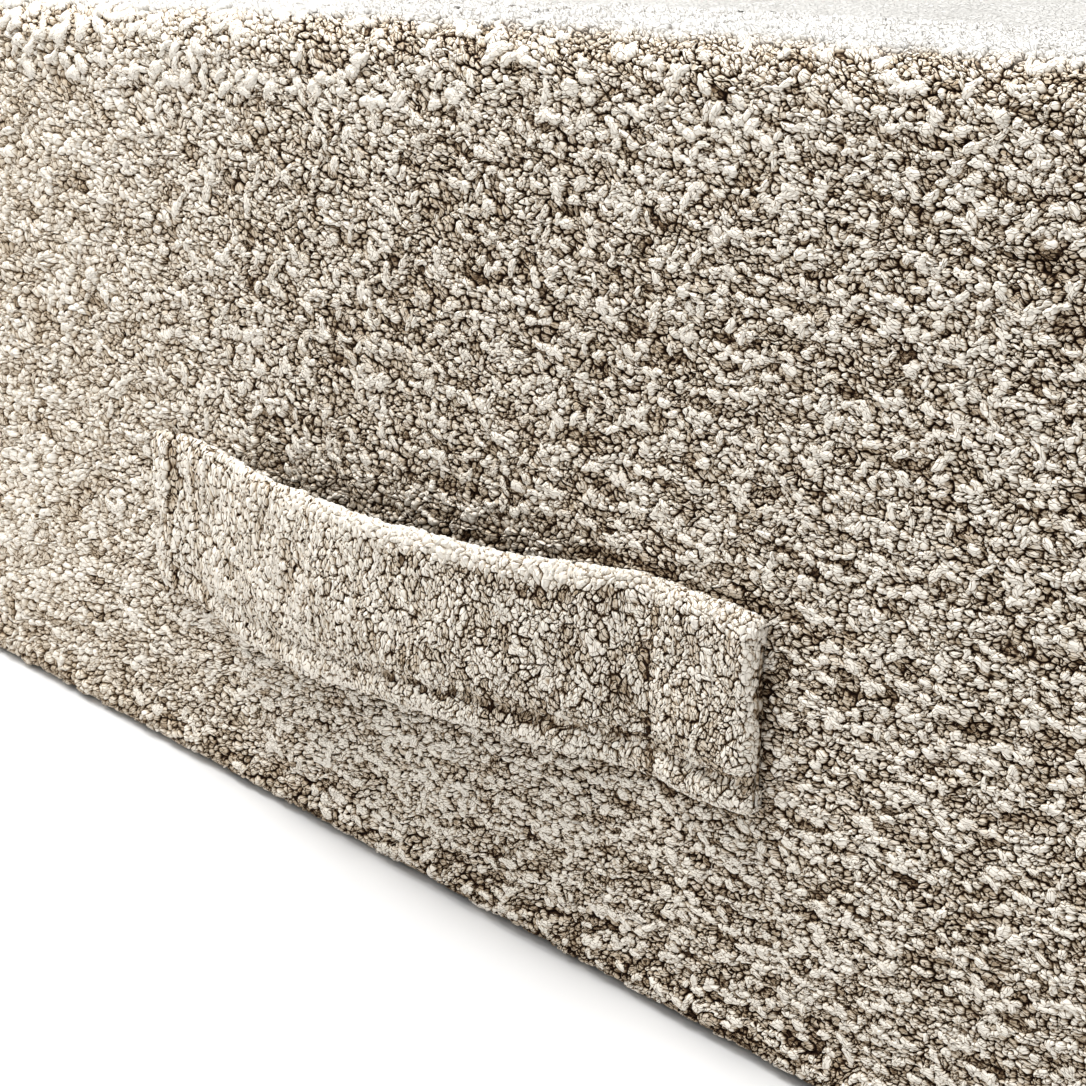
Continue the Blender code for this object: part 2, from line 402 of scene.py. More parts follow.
def cells_mesh(name, cells, pick, plane, place, height, unit, tone, bite, washed_top, detail, seed, sink=None, press=None):
    """One joined mesh of the picked cells. plane(q) takes (u, v) to places on the unrolled cloth, place(a, s) those to
    the surface. height is each cell's in metres, unit the height of full brightness, tone the lightness, bite how dark
    the painted shade in the grooves is, and the next argument how far the top's even, washed-out colour is used, which
    is painted light for the strong overhead light. detail 3 and 2 have an inner ring, 1 edge middles and a top, 0 only
    corners and a top.
    """
    r = np.random.default_rng(seed)
    out = {k: [] for k in ("co", "tri", "lift", "tone", "bite", "washed_top", "grain", "uv")}
    base = 0
    for k in range(3, 12):
        sel = np.flatnonzero(pick & (cells.count == k))
        if not len(sel):
            continue
        n = len(sel)
        idx = cells.first[sel][:, None] + np.arange(k)
        site = cells.site[sel]
        corner = site[:, None] + cells.corner[idx]
        mid = (corner + np.roll(corner, -1, 1)) / 2
        h = height[sel][:, None]
        centre = site[:, None] + cells.corner[idx].mean(1, keepdims=True) * 0.6 + r.normal(size=(n, 1, 2)) * 0.06
        z_corner, z_mid = cells.z_corner[idx], cells.z_mid[idx]
        parts, heights = [corner], [z_corner]
        if detail >= 1:
            parts.append(mid)
            heights.append(z_mid)
        near = np.maximum(z_mid, np.roll(z_mid, 1, 1))
        if detail == 2:
            parts.append(centre + (mid - centre) * 0.68)
            heights.append(np.maximum(0.84 * h, 0.97 * z_mid) + 0.05 * h * r.normal(size=(n, k)))
        if detail == 3:
            parts += [centre + (corner - centre) * 0.57, centre + (mid - centre) * 0.73]
            heights.append(np.maximum(0.80 * h, 0.85 * near) + 0.05 * h * r.normal(size=(n, k)))
            heights.append(np.maximum(0.82 * h, 0.97 * z_mid) + 0.05 * h * r.normal(size=(n, k)))
        parts.append(centre)
        heights.append(h * (1.0 + 0.05 * r.normal(size=(n, 1))))
        q = np.concatenate(parts, 1)
        z = np.concatenate(heights, 1)
        m = q.shape[1]
        # Painted highlight: the rim of a loop is painted lighter than its middle.
        shade = np.ones((1, m))
        if detail >= 2:
            shade[0, 2 * k:] = 1.10
            shade[0, -1] = 0.84
        w = cells.warp(q)
        flat = plane(w)
        a, s = flat[..., 0].reshape(-1), flat[..., 1].reshape(-1)
        p, ta, tb, nn = place(a, s)
        rise = z.reshape(-1)
        if press is not None:
            rise = press(a, s, rise)
        if sink is not None:
            rise = rise - sink(a, s)
        i = np.arange(k)
        j = (i + 1) % k
        if detail == 3:
            t = np.concatenate([
                np.stack([i, k + i, 2 * k + i], 1),
                np.stack([k + i, 3 * k + i, 2 * k + i], 1),
                np.stack([k + i, j, 2 * k + j], 1),
                np.stack([k + i, 2 * k + j, 3 * k + i], 1),
                np.stack([2 * k + i, 3 * k + i, np.full(k, 4 * k)], 1),
                np.stack([3 * k + i, 2 * k + j, np.full(k, 4 * k)], 1),
            ])
        elif detail == 2:
            t = np.concatenate([
                np.stack([i, k + i, 2 * k + i], 1),
                np.stack([k + i, j, 2 * k + i], 1),
                np.stack([j, 2 * k + j, 2 * k + i], 1),
                np.stack([2 * k + i, 2 * k + j, np.full(k, 3 * k)], 1),
            ])
        elif detail == 1:
            t = np.concatenate([np.stack([i, k + i, np.full(k, 2 * k)], 1), np.stack([k + i, j, np.full(k, 2 * k)], 1)])
        else:
            t = np.stack([i, j, np.full(k, k)], 1)
        p = p + nn * rise[:, None]
        p[:, 2] = np.maximum(p[:, 2], 0.0002)
        out["co"].append(p)
        out["tri"].append((t[None] + (np.arange(n) * m)[:, None, None]).reshape(-1, 3) + base)
        base += n * m
        c, si = np.cos(cells.lead[sel])[:, None], np.sin(cells.lead[sel])[:, None]
        own = hashed(cells.clump[sel], 11)[:, None] * 60
        grain = np.stack([w[..., 0] * c + w[..., 1] * si + own, -w[..., 0] * si + w[..., 1] * c + own * 1.7, np.broadcast_to(own, w.shape[:2])], -1)
        # Height sets the painted groove shade through the ramp, together with the painted rim highlight.
        out["lift"].append((z * shade / unit[sel][:, None]).reshape(-1))
        out["washed_top"].append(np.repeat(washed_top[sel], m))
        out["tone"].append(np.repeat(tone[sel], m))
        out["bite"].append(np.repeat(bite[sel], m))
        out["grain"].append(grain.reshape(-1, 3))
        out["uv"].append(flat.reshape(-1, 2))
    co, tri, lift, tones, bites, washed_tops, grain, uv = (np.concatenate(out[k]) for k in ("co", "tri", "lift", "tone", "bite", "washed_top", "grain", "uv"))
    mesh = bpy.data.meshes.new(name)
    mesh.vertices.add(len(co))
    mesh.vertices.foreach_set("co", co.reshape(-1).astype(np.float32))
    mesh.loops.add(len(tri) * 3)
    mesh.loops.foreach_set("vertex_index", tri.reshape(-1).astype(np.int32))
    mesh.polygons.add(len(tri))
    mesh.polygons.foreach_set("loop_start", np.arange(0, len(tri) * 3, 3, dtype=np.int32))
    mesh.update(calc_edges=True)
    mesh.polygons.foreach_set("use_smooth", np.ones(len(tri), bool))
    mesh.attributes.new("lift", "FLOAT", "POINT").data.foreach_set("value", lift.astype(np.float32))
    mesh.attributes.new("tone", "FLOAT", "POINT").data.foreach_set("value", tones.astype(np.float32))
    mesh.attributes.new("bite", "FLOAT", "POINT").data.foreach_set("value", bites.astype(np.float32))
    mesh.attributes.new("washed_top", "FLOAT", "POINT").data.foreach_set("value", washed_tops.astype(np.float32))
    mesh.attributes.new("grain", "FLOAT_VECTOR", "POINT").data.foreach_set("vector", grain.reshape(-1).astype(np.float32))
    low, high = uv.min(0), uv.max(0)
    uv = 0.004 + 0.992 * (uv - low) / (high - low).max()
    mesh.uv_layers.new(name="OFBake").data.foreach_set("uv", uv[tri.reshape(-1)].reshape(-1).astype(np.float32))
    obj = bpy.data.objects.new(name, mesh)
    bpy.context.scene.collection.objects.link(obj)
    return obj


# ---------------------------------------------------------------- materials
def new_material(name):
    mat = bpy.data.materials.new(name)
    mat.use_nodes = True
    nodes, links = mat.node_tree.nodes, mat.node_tree.links
    return mat, nodes, links, nodes["Principled BSDF"]


def ramp(nodes, stops):
    node = nodes.new("ShaderNodeValToRGB")
    el = node.color_ramp.elements
    while len(el) > 1:
        el.remove(el[-1])
    el[0].position, el[0].color = stops[0]
    for pos, col in stops[1:]:
        el.new(pos).color = col
    return node


def math_node(nodes, links, kind, *values, clamp=False):
    node = nodes.new("ShaderNodeMath")
    node.operation = kind
    node.use_clamp = clamp
    for i, v in enumerate(values):
        if isinstance(v, (int, float)):
            node.inputs[i].default_value = v
        else:
            links.new(v, node.inputs[i])
    return node.outputs[0]


def remap(nodes, links, value, low, high, out_low=0.0, out_high=1.0):
    node = nodes.new("ShaderNodeMapRange")
    for name, v in (("From Min", low), ("From Max", high), ("To Min", out_low), ("To Max", out_high)):
        node.inputs[name].default_value = v
    links.new(value, node.inputs["Value"])
    return node.outputs[0]


# Colours of the yarn from the bottom of a groove to the top of a loop: the dark end is painted shade in the grooves,
# the light end the yarn's own cream.
YARN_AND_GROOVE_SHADE = [
    (0.00, (0.010, 0.004, 0.002, 1)),
    (0.24, (0.036, 0.018, 0.009, 1)),
    (0.38, (0.145, 0.094, 0.053, 1)),
    (0.50, (0.400, 0.310, 0.210, 1)),
    (0.66, (0.650, 0.560, 0.444, 1)),
    (0.92, (0.885, 0.830, 0.742, 1)),
]
# A more even, greyer copy of these colours for the cloth that faces up: painted light, standing in for the top washed
# out by the strong overhead light.
WASHED_TOP = [
    (0.30, (0.240, 0.215, 0.185, 1)),
    (0.60, (0.520, 0.508, 0.485, 1)),
    (0.95, (0.655, 0.641, 0.612, 1)),
]


def yarn_material(name, vector, lift, tone, fine, depth, roughness=0.9):
    """Looped yarn. vector(nodes, links) gives the texture coordinates in loop widths, lift and tone the height and
    lightness at each place. The colour ramp paints shade into the low places.
    """
    mat, nodes, links, shader = new_material(name)
    grain = vector(nodes, links)
    high = lift(nodes, links, grain)
    light = tone(nodes, links, grain)
    bite = attribute("bite")
    # Bent coordinates, so that the finest lines curl.
    bend = nodes.new("ShaderNodeTexNoise")
    bend.inputs["Scale"].default_value = 1.1
    bend.inputs["Detail"].default_value = 1.0
    links.new(grain, bend.inputs["Vector"])
    moved = nodes.new("ShaderNodeVectorMath")
    moved.operation = "MULTIPLY_ADD"
    links.new(bend.outputs["Color"], moved.inputs[0])
    moved.inputs[1].default_value = (0.9, 0.9, 0.9)
    links.new(grain, moved.inputs[2])
    # Sub-lobes: fine plies of the yarn, parted by thin lines that are bumped and painted dark as shade.
    ply = nodes.new("ShaderNodeMapping")
    ply.inputs["Scale"].default_value = (0.85, 1.9, 1.0)
    links.new(moved.outputs[0], ply.inputs["Vector"])
    lobes = nodes.new("ShaderNodeTexVoronoi")
    lobes.feature = "DISTANCE_TO_EDGE"
    lobes.voronoi_dimensions = "2D"
    lobes.inputs["Scale"].default_value = 1.15
    links.new(ply.outputs[0], lobes.inputs["Vector"])
    line = remap(nodes, links, lobes.outputs["Distance"], 0.008, 0.09)
    # Mottling.
    spots = nodes.new("ShaderNodeTexNoise")
    spots.inputs["Scale"].default_value = 1.5
    spots.inputs["Detail"].default_value = 3.0
    spots.inputs["Roughness"].default_value = 0.65
    links.new(moved.outputs[0], spots.inputs["Vector"])
    value = math_node(nodes, links, "MULTIPLY_ADD", line, fine, high)
    value = math_node(nodes, links, "ADD", value, math_node(nodes, links, "MULTIPLY_ADD", spots.outputs["Fac"], 0.70, -0.35 - fine * 0.75))
    # bite scales the painted shade in the grooves; where it is low, on the top and at the soft far left, the grooves
    # are painted less dark.
    value = math_node(nodes, links, "MULTIPLY_ADD", math_node(nodes, links, "SUBTRACT", 1.0, value), bite(nodes, links), -1.0)
    value = math_node(nodes, links, "SUBTRACT", light, value)
    # Painted shade: low values of the ramp darken the grooves between and within the loops.
    colour, flat_colour = ramp(nodes, YARN_AND_GROOVE_SHADE), ramp(nodes, WASHED_TOP)
    links.new(value, colour.inputs[0])
    links.new(value, flat_colour.inputs[0])
    # Painted light: the top's washed-out colour is mixed in where the cloth faces up.
    mix = nodes.new("ShaderNodeMix")
    mix.data_type = "RGBA"
    links.new(attribute("washed_top")(nodes, links), mix.inputs["Factor"])
    links.new(colour.outputs["Color"], mix.inputs["A"])
    links.new(flat_colour.outputs["Color"], mix.inputs["B"])
    links.new(mix.outputs["Result"], shader.inputs["Base Color"])
    rough = remap(nodes, links, spots.outputs["Fac"], 0.3, 0.7, roughness - 0.1, roughness + 0.06)
    links.new(rough, shader.inputs["Roughness"])
    shader.inputs["Specular IOR Level"].default_value = 0.05
    bump = nodes.new("ShaderNodeBump")
    bump.inputs["Strength"].default_value = 0.9
    bump.inputs["Distance"].default_value = depth
    both = math_node(nodes, links, "MULTIPLY_ADD", line, 0.6, spots.outputs["Fac"])
    links.new(both, bump.inputs["Height"])
    links.new(bump.outputs["Normal"], shader.inputs["Normal"])
    return mat


def attribute(name, kind="Fac"):
    def read(nodes, links, *_):
        node = nodes.new("ShaderNodeAttribute")
        node.attribute_name = name
        return node.outputs[kind]

    return read


def object_grain(nodes, links):
    """Where no separate loops are made: the object's own coordinates, in loop widths."""
    coord = nodes.new("ShaderNodeTexCoord")
    scale = nodes.new("ShaderNodeVectorMath")
    scale.operation = "SCALE"
    scale.inputs["Scale"].default_value = 1 / 0.0020
    links.new(coord.outputs["Object"], scale.inputs[0])
    return scale.outputs[0]


def ground_lift(nodes, links, grain):
    """Loops as cells in three dimensions: high in the middle, with a groove round each clump."""
    bend = nodes.new("ShaderNodeTexNoise")
    bend.inputs["Scale"].default_value = 0.6
    links.new(grain, bend.inputs["Vector"])
    moved = nodes.new("ShaderNodeVectorMath")
    moved.operation = "MULTIPLY_ADD"
    links.new(bend.outputs["Color"], moved.inputs[0])
    moved.inputs[1].default_value = (1.4, 1.4, 1.4)
    links.new(grain, moved.inputs[2])
    parts = []
    for size, low, high in ((0.52, 0.0, 0.22), (1.0, 0.0, 0.30)):
        cells = nodes.new("ShaderNodeTexVoronoi")
        cells.feature = "DISTANCE_TO_EDGE"
        cells.inputs["Scale"].default_value = size
        links.new(moved.outputs[0], cells.inputs["Vector"])
        parts.append(remap(nodes, links, cells.outputs["Distance"], low, high))
    lift = math_node(nodes, links, "MULTIPLY_ADD", parts[0], 0.40, 0.05)
    return math_node(nodes, links, "MULTIPLY_ADD", parts[1], 0.42, lift)


# ---------------------------------------------------------------- the skin
lump = waves(8, 40, 0.009, 0.022)
lump_wide = waves(9, 24, 0.020, 0.045)


def pile_share(p):
    """1 where the separate loops cover the cloth, falling to 0 round the corners of the front and back over the top."""
    side = 1 - smooth(np.abs(p[:, 0]), HALF_OUT - 0.012, HALF_OUT - 0.001)
    back = 1 - smooth(p[:, 1], -HALF_OUT + 0.064, -HALF_OUT + 0.092)
    under = smooth(p[:, 2], 0.0001, 0.0012)
    return side * back * under


def grid_lines(half, cells, arc=4):
    flat = np.linspace(-(half - R), half - R, cells + 1)
    turn = R * np.tan(np.linspace(0, math.pi / 4, arc + 1))[1:]
    return np.concatenate([-(half - R) - turn[::-1], flat, half - R + turn])


def make_skin(material):
    wide = grid_lines(HALF, 104)
    tall = grid_lines(RISE, 28)
    blocks, quads, start = [], [], 0
    for axis in range(3):
        first, second = [i for i in range(3) if i != axis]
        lines = {0: wide, 1: wide, 2: tall}
        for sign in (-1, 1):
            u, v = np.meshgrid(lines[first], lines[second], indexing="ij")
            p = np.zeros(u.shape + (3,))
            p[..., first], p[..., second] = u, v
            p[..., axis] = sign * (HALF if axis < 2 else RISE)
            nu, nv = u.shape
            idx = start + np.arange(nu * nv).reshape(nu, nv)
            q = np.stack([idx[:-1, :-1], idx[1:, :-1], idx[1:, 1:], idx[:-1, 1:]], -1).reshape(-1, 4)
            outward = sign * (-1 if axis == 1 else 1)
            quads.append(q if outward > 0 else q[:, ::-1])
            blocks.append(p.reshape(-1, 3))
            start += nu * nv
    p = np.concatenate(blocks)
    _, first_seen, index = np.unique(np.round(p, 7), axis=0, return_index=True, return_inverse=True)
    p = p[first_seen]
    quads = index.reshape(-1)[np.concatenate(quads)]
    q = filled(p)
    flat = np.array([HALF - R, HALF - R, RISE - R])
    d = p - np.clip(p, -flat, flat)
    n = d / np.linalg.norm(d, axis=1, keepdims=True)
    share = pile_share(q)
    bumps = 0.6 * lump(q) + 0.5 * lump_wide(q)
    free = np.clip(q[:, 2] / 0.01, 0, 1)
    out = relief(q) + free * (1 - share) * (0.0009 + 0.0007 * bumps) - share * 0.0012
    q = q + n * out[:, None]
    mesh = bpy.data.meshes.new("cushion_cover")
    mesh.from_pydata(q.tolist(), [], quads.tolist())
    mesh.polygons.foreach_set("use_smooth", np.ones(len(quads), bool))
    # Painted light: where the skin faces up it takes the even, washed-out top colour, a slightly different tone and
    # weaker painted groove shade.
    flat_up = smooth(n[:, 2], 0.70, 0.97)
    mesh.attributes.new("tone", "FLOAT", "POINT").data.foreach_set("value", (0.055 * bumps + 0.02 * (1 - flat_up) + 0.012 * flat_up).astype(np.float32))
    mesh.attributes.new("bite", "FLOAT", "POINT").data.foreach_set("value", (1 - 0.50 * flat_up).astype(np.float32))
    mesh.attributes.new("washed_top", "FLOAT", "POINT").data.foreach_set("value", flat_up.astype(np.float32))
    mesh.update()
    obj = bpy.data.objects.new("cushion_cover", mesh)
    bpy.context.scene.collection.objects.link(obj)
    mesh.materials.append(material)
    return obj


ground = yarn_material("boucle_ground", object_grain, ground_lift, attribute("tone"), 0.10, 0.0010)
yarn = yarn_material("boucle_yarn", attribute("grain", "Vector"), attribute("lift"), attribute("tone"), 0.62, 0.0004)
skin = make_skin(ground)
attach(skin, ROOT)
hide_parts("cushion")

# ---------------------------------------------------------------- the camera
AZ, EL = math.radians(48.5), math.radians(16.9)
back = Vector((math.sin(AZ) * math.cos(EL), -math.cos(AZ) * math.cos(EL), math.sin(EL)))
cam = bpy.data.cameras.new("camera")
cam.sensor_width = 36
cam.lens = 66.3
cam.clip_start = 0.01
camera = bpy.data.objects.new("camera", cam)
bpy.context.scene.collection.objects.link(camera)
camera.location = (0.441, -0.337 + C_LO[1], 0.276)
camera.rotation_euler = back.to_track_quat("Z", "Y").to_euler()
bpy.context.scene.camera = camera


def near_view(p):
    """Which places are close enough to the camera, inside its picture, to need the finest loops."""
    b = np.array(back)
    right = np.cross(-b, [0, 0, 1.0])
    right /= np.linalg.norm(right)
    up = np.cross(right, -b)
    d = p - np.array(camera.location)
    far = -(d @ b)
    half = cam.sensor_width / 2 / cam.lens * 1.03
    return (far > 0) & (np.abs(d @ right) < half * far) & (np.abs(d @ up) < half * far)


# ---------------------------------------------------------------- the strap
STRAP_COLUMNS = ("along", "gap", "thick", "low", "high")
STRAP = np.array([
    (-134.5, 0.3, 3.2, 63.0, 117.0),
    (-126.0, 0.3, 4.4, 62.0, 118.6),
    (-113.5, 0.3, 3.2, 61.2, 119.0),
    (-100.0, 1.2, 5.0, 60.0, 119.0),
    (-75.0, 4.4, 5.4, 57.6, 118.5),
    (-40.0, 9.2, 5.5, 59.2, 118.0),
    (0.0, 12.2, 5.5, 63.5, 118.8),
    (30.0, 12.8, 5.5, 66.5, 120.5),
    (60.0, 10.2, 5.5, 68.6, 121.8),
    (85.0, 4.8, 5.5, 69.0, 123.0),
    (104.0, 0.3, 4.0, 68.4, 123.5),
    (113.0, 0.3, 6.8, 68.2, 124.0),
    (129.0, 0.3, 8.0, 69.2, 123.6),
    (140.6, 0.3, 7.6, 70.2, 123.0),
])
SECTION = ((0.4, 0.36), (2.0, 0.68), (5.2, 0.80), (8.2, 0.66), (9.5, 0.52), (11.2, 0.74), (15.0, 0.94), (24.0, 1.00), (-19.0, 1.00), (-9.0, 0.99), (-4.0, 0.92), (-1.4, 0.74), (-0.1, 0.46))
BACK = ((-0.9, 0.16), (-2.6, 0.0), (-16.0, 0.0), (16.0, 0.0), (2.6, 0.0), (0.9, 0.10))
CLOTH = 0.0016  # thickness of the strap's cloth without its loops
PILE = 0.0009  # depth kept for the loops inside the strap's outer form


def table_at(along):
    """The strap's table at these places, with an even curve through its rows."""
    x = STRAP[:, 0]
    k = np.clip(np.searchsorted(x, along, "right") - 1, 0, len(x) - 2)
    span = x[k + 1] - x[k]
    s = (along - x[k]) / span
    out = {}
    for c, name in enumerate(STRAP_COLUMNS[1:], 1):
        v = STRAP[:, c]
        straight = np.diff(v) / np.diff(x)
        slope = np.concatenate([straight[:1], np.zeros(len(x) - 2), straight[-1:]])
        left_, right_ = np.concatenate([straight[:1], straight]), np.concatenate([straight, straight[-1:]])
        # The slope at a row, as its neighbours on each side give it.
        start = np.zeros(len(k))
        end = np.zeros(len(k))
        for side, dest in ((0, start), (1, end)):
            row = k + side
            st = straight[k]
            far = np.where(side == 0, row - 1, row)
            ok = (far >= 0) & (far < len(straight))
            o = straight[np.clip(far, 0, len(straight) - 1)]
            agree = o * st > 0
            dest[:] = np.where(ok, np.where(agree, 2 * o * st / np.where(o + st == 0, 1, o + st), 0), st)
        h1, h2, h3, h4 = 2 * s**3 - 3 * s**2 + 1, s**3 - 2 * s**2 + s, -2 * s**3 + 3 * s**2, s**3 - s**2
        out[name] = h1 * v[k] + h2 * span * start + h3 * v[k + 1] + h4 * span * end
    return out


def face_distance(x, z):
    height = top_height(x, np.full_like(x, -HALF_OUT))
    return HALF + swell(x / HALF_OUT, 2 * z / height - 1)


AROUND_STRAP = 144
END_CAP = 0.0036  # the ends turn in over half their thickness


def round_loop(pts, count):
    """Even steps along a smooth closed curve through pts, from its first point."""
    n = len(pts)
    dense = []
    for i in range(n):
        p0, p1, p2, p3 = pts[i - 1], pts[i], pts[(i + 1) % n], pts[(i + 2) % n]
        t = np.linspace(0, 1, 14, endpoint=False)[:, None]
        l = np.linalg.norm(p2 - p1)
        m1 = (p2 - p0) / max(np.linalg.norm(p2 - p0), 1e-9) * l
        m2 = (p3 - p1) / max(np.linalg.norm(p3 - p1), 1e-9) * l
        dense.append((2 * t**3 - 3 * t**2 + 1) * p1 + (t**3 - 2 * t**2 + t) * m1 + (-2 * t**3 + 3 * t**2) * p2 + (t**3 - t**2) * m2)
    dense = np.concatenate(dense + [pts[:1]])
    run = np.concatenate([[0], np.cumsum(np.linalg.norm(np.diff(dense, axis=0), axis=1))])
    at = np.linspace(0, run[-1], count + 1)
    return np.stack([np.interp(at, run, dense[:, 0]), np.interp(at, run, dense[:, 1])], 1), run[-1]


crumple = waves2(61, 16, 0.018, 0.050)


def strap_grids():
    """Outer form of the strap: rings of points from end to end, each ring from the middle of the back, down and up the front, and back."""
    first, last = STRAP[0, 0] / 1000, STRAP[-1, 0] / 1000
    along = np.linspace(first, last, 221)
    rows = table_at(along * 1000)
    rings, girth = [], []
    for i, x in enumerate(along):
        end = min((x - first) / 0.0035, (last - x) / 0.0022, 1)
        ease = 0.80 + 0.20 * math.sqrt(1 - (1 - end) ** 2)
        low, high = rows["low"][i] + (1 - ease) * 5, rows["high"][i] - (1 - ease) * 5
        gap, thick = max(rows["gap"][i], 0.3), rows["thick"][i]
        pts = []
        mid = (low + high) / 2
        order = [(mid, 0.0)] + [(low + h, s) for h, s in BACK[3:]] + [(low + h if h > 0 else high + h, s) for h, s in SECTION] + [(high + h, s) for h, s in BACK[:3]]
        for z, share in order:
            share *= ease
            pts.append((z / 1000, gap / 1000 + share * thick / 1000))
        ring, length = round_loop(np.array(pts), AROUND_STRAP)
        rings.append(ring)
        girth.append(length)
    return along, np.array(rings), np.array(girth)


def strap_surface():
    """Places (stations, ring, 3) of the cloth's outer side, of its inner side, and the girth at each station."""
    along, rings, girth = strap_grids()
    z, y = rings[..., 0], rings[..., 1]
    # Inward direction across each ring.
    dz, dy = np.gradient(z, axis=1), np.gradient(y, axis=1)
    size = np.hypot(dz, dy)
    nz, ny = dy / size, -dz / size  # turned to the inside below if needed
    inside = ((z.mean(1, keepdims=True) - z) * nz + (y.mean(1, keepdims=True) - y) * ny).sum()
    if inside < 0:
        nz, ny = -nz, -ny
    thick = table_at(along * 1000)["thick"][:, None] / 1000
    pile = np.minimum(PILE, 0.17 * thick)
    cloth = np.minimum(CLOTH, 0.32 * thick)
    sheets = []
    for inset in (pile, pile + cloth):
        zz, yy = z + nz * inset, y + ny * inset
        sheets.append([zz, yy])
    # The ends turn in: extra rings that close towards the middle of the thickness.
    steps = 5
    out = []
    for depth, (zz, yy) in enumerate(sheets):
        mid_y = (yy.max(1) + yy.min(1))[:, None] / 2
        lo, hi = zz.min(1)[:, None] + 0.0016, zz.max(1)[:, None] - 0.0016
        x = np.repeat(along[:, None], zz.shape[1], 1)
        first_rows, last_rows = [], []
        for k in range(1, steps + 1):
            f = k / steps * 0.92
            bulge = math.sqrt(1 - (1 - f) ** 2) * 0.0008 - (0.0016 * f if depth else 0)
            for rows_, i, sign in ((first_rows, 0, -1), (last_rows, -1, 1)):
                cz, cy = np.clip(zz[i], lo[i], hi[i]), mid_y[i]
                rows_.append((x[i] + sign * bulge, yy[i] + (cy - yy[i]) * f, zz[i] + (cz - zz[i]) * f))
        stack = lambda c, body: np.concatenate([np.array([r[c] for r in first_rows[::-1]]), body, np.array([r[c] for r in last_rows])])
        out.append((stack(0, x), stack(1, yy), stack(2, zz)))
    shapes = []
    for x, yy, zz in out:
        wave = crumple(x, zz) * 0.00045 * np.clip(yy / 0.003, 0, 1)
        wall = face_distance(x, zz)
        shapes.append(np.stack([x, -(wall + yy + wave), zz], -1))
    return shapes[0], shapes[1], girth


outer, inner, girth = strap_surface()
# Unrolled places: a along the strap over its ends, s round it.
steps_a = np.linalg.norm(np.diff(outer, axis=0), axis=2).mean(1)
GRID_A = np.concatenate([[0], np.cumsum(steps_a)])
GIRTH = float(np.median(girth))
GRID_A = GRID_A - np.interp(0, outer[:, 0, 0], GRID_A)


def strap_place(a, s):
    """Point and directions of the strap's outer side. s runs from 0 to 1 round it."""
    ni, nj = outer.shape[0], outer.shape[1]

    def at(a, s):
        fi = np.clip(np.interp(a, GRID_A, np.arange(ni)), 0, ni - 1.001)
        fj = np.clip(s, 0, 0.99999) * (nj - 1)
        i, j = fi.astype(int), fj.astype(int)
        di, dj = (fi - i)[:, None], (fj - j)[:, None]
        return (outer[i, j] * (1 - di) + outer[i + 1, j] * di) * (1 - dj) + (outer[i, j + 1] * (1 - di) + outer[i + 1, j + 1] * di) * dj

    p = at(a, s)
    e, f = 0.0011, 0.0011 / GIRTH
    da = at(a + e, s) - at(a - e, s)
    ds = at(a, s + f) - at(a, s - f)
    n = np.cross(da, ds)
    n /= np.maximum(np.linalg.norm(n, axis=1, keepdims=True), 1e-12)
    da /= np.maximum(np.linalg.norm(da, axis=1, keepdims=True), 1e-12)
    return p, da, np.cross(n, da), n


def make_strap(material):
    # The two long edges of the folded cloth meet along the hidden back.
    trim = slice(1, outer.shape[1] - 1)
    a, b = outer[:, trim], inner[:, trim]
    ni, nj = a.shape[:2]
    # The cloth itself is smooth, so it needs fewer points than the places of its loops.
    keep_i = np.unique(np.concatenate([np.arange(7), np.arange(7, ni - 7, 3), np.arange(ni - 7, ni)]))
    keep_j = np.unique(np.concatenate([np.arange(0, nj, 2), [nj - 1]]))
    a, b = a[np.ix_(keep_i, keep_j)], b[np.ix_(keep_i, keep_j)]
    ni, nj = a.shape[:2]
    co = np.concatenate([a.reshape(-1, 3), b.reshape(-1, 3)])
    idx = np.arange(ni * nj).reshape(ni, nj)
    other = idx + ni * nj
    quad = lambda m: np.stack([m[:-1, :-1], m[1:, :-1], m[1:, 1:], m[:-1, 1:]], -1).reshape(-1, 4)
    faces = [quad(idx), quad(other)[:, ::-1]]

    def rim(p, q):
        return np.stack([p[:-1], p[1:], q[1:], q[:-1]], -1)

    faces += [rim(idx[:, 0], other[:, 0])[:, ::-1], rim(idx[:, -1], other[:, -1]), rim(idx[0], other[0]), rim(idx[-1], other[-1])[:, ::-1]]
    mesh = bpy.data.meshes.new("strap_cloth")
    mesh.from_pydata(co.tolist(), [], np.concatenate(faces).tolist())
    mesh.polygons.foreach_set("use_smooth", np.ones(len(mesh.polygons), bool))
    mesh.attributes.new("tone", "FLOAT", "POINT").data.foreach_set("value", np.zeros(len(co), np.float32))
    mesh.attributes.new("bite", "FLOAT", "POINT").data.foreach_set("value", np.ones(len(co), np.float32))
    mesh.materials.append(material)
    mesh.update()
    obj = bpy.data.objects.new("strap_cloth", mesh)
    bpy.context.scene.collection.objects.link(obj)
    return obj


strap = make_strap(ground)
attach(strap, ROOT)
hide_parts("handle")


# ---------------------------------------------------------------- loops on the front
# Coarser towards the left, where the yarn lies looser.
PITCH = 1.24
AT = np.array([-0.45, -0.30, -0.20, -0.10, 0.0, 0.10, 0.20, 0.30, 0.45])
WIDE = np.array([5.2, 4.8, 3.9, 3.15, 2.55, 2.1, 1.85, 1.8, 1.8]) * 0.001 * PITCH
TALL = np.array([2.9, 2.7, 2.4, 2.05, 1.75, 1.5, 1.32, 1.28, 1.28]) * 0.001 * PITCH


def spacing_a(a):
    return np.interp(a, AT, WIDE)


def spacing_s(a):
    return np.interp(a, AT, TALL)


TABLE_A = np.linspace(-0.46, 0.46, 2000)
TABLE_U = np.concatenate([[0], np.cumsum(1 / spacing_a((TABLE_A[1:] + TABLE_A[:-1]) / 2)) * (TABLE_A[1] - TABLE_A[0])])
MID_S = FLAT_S / 2


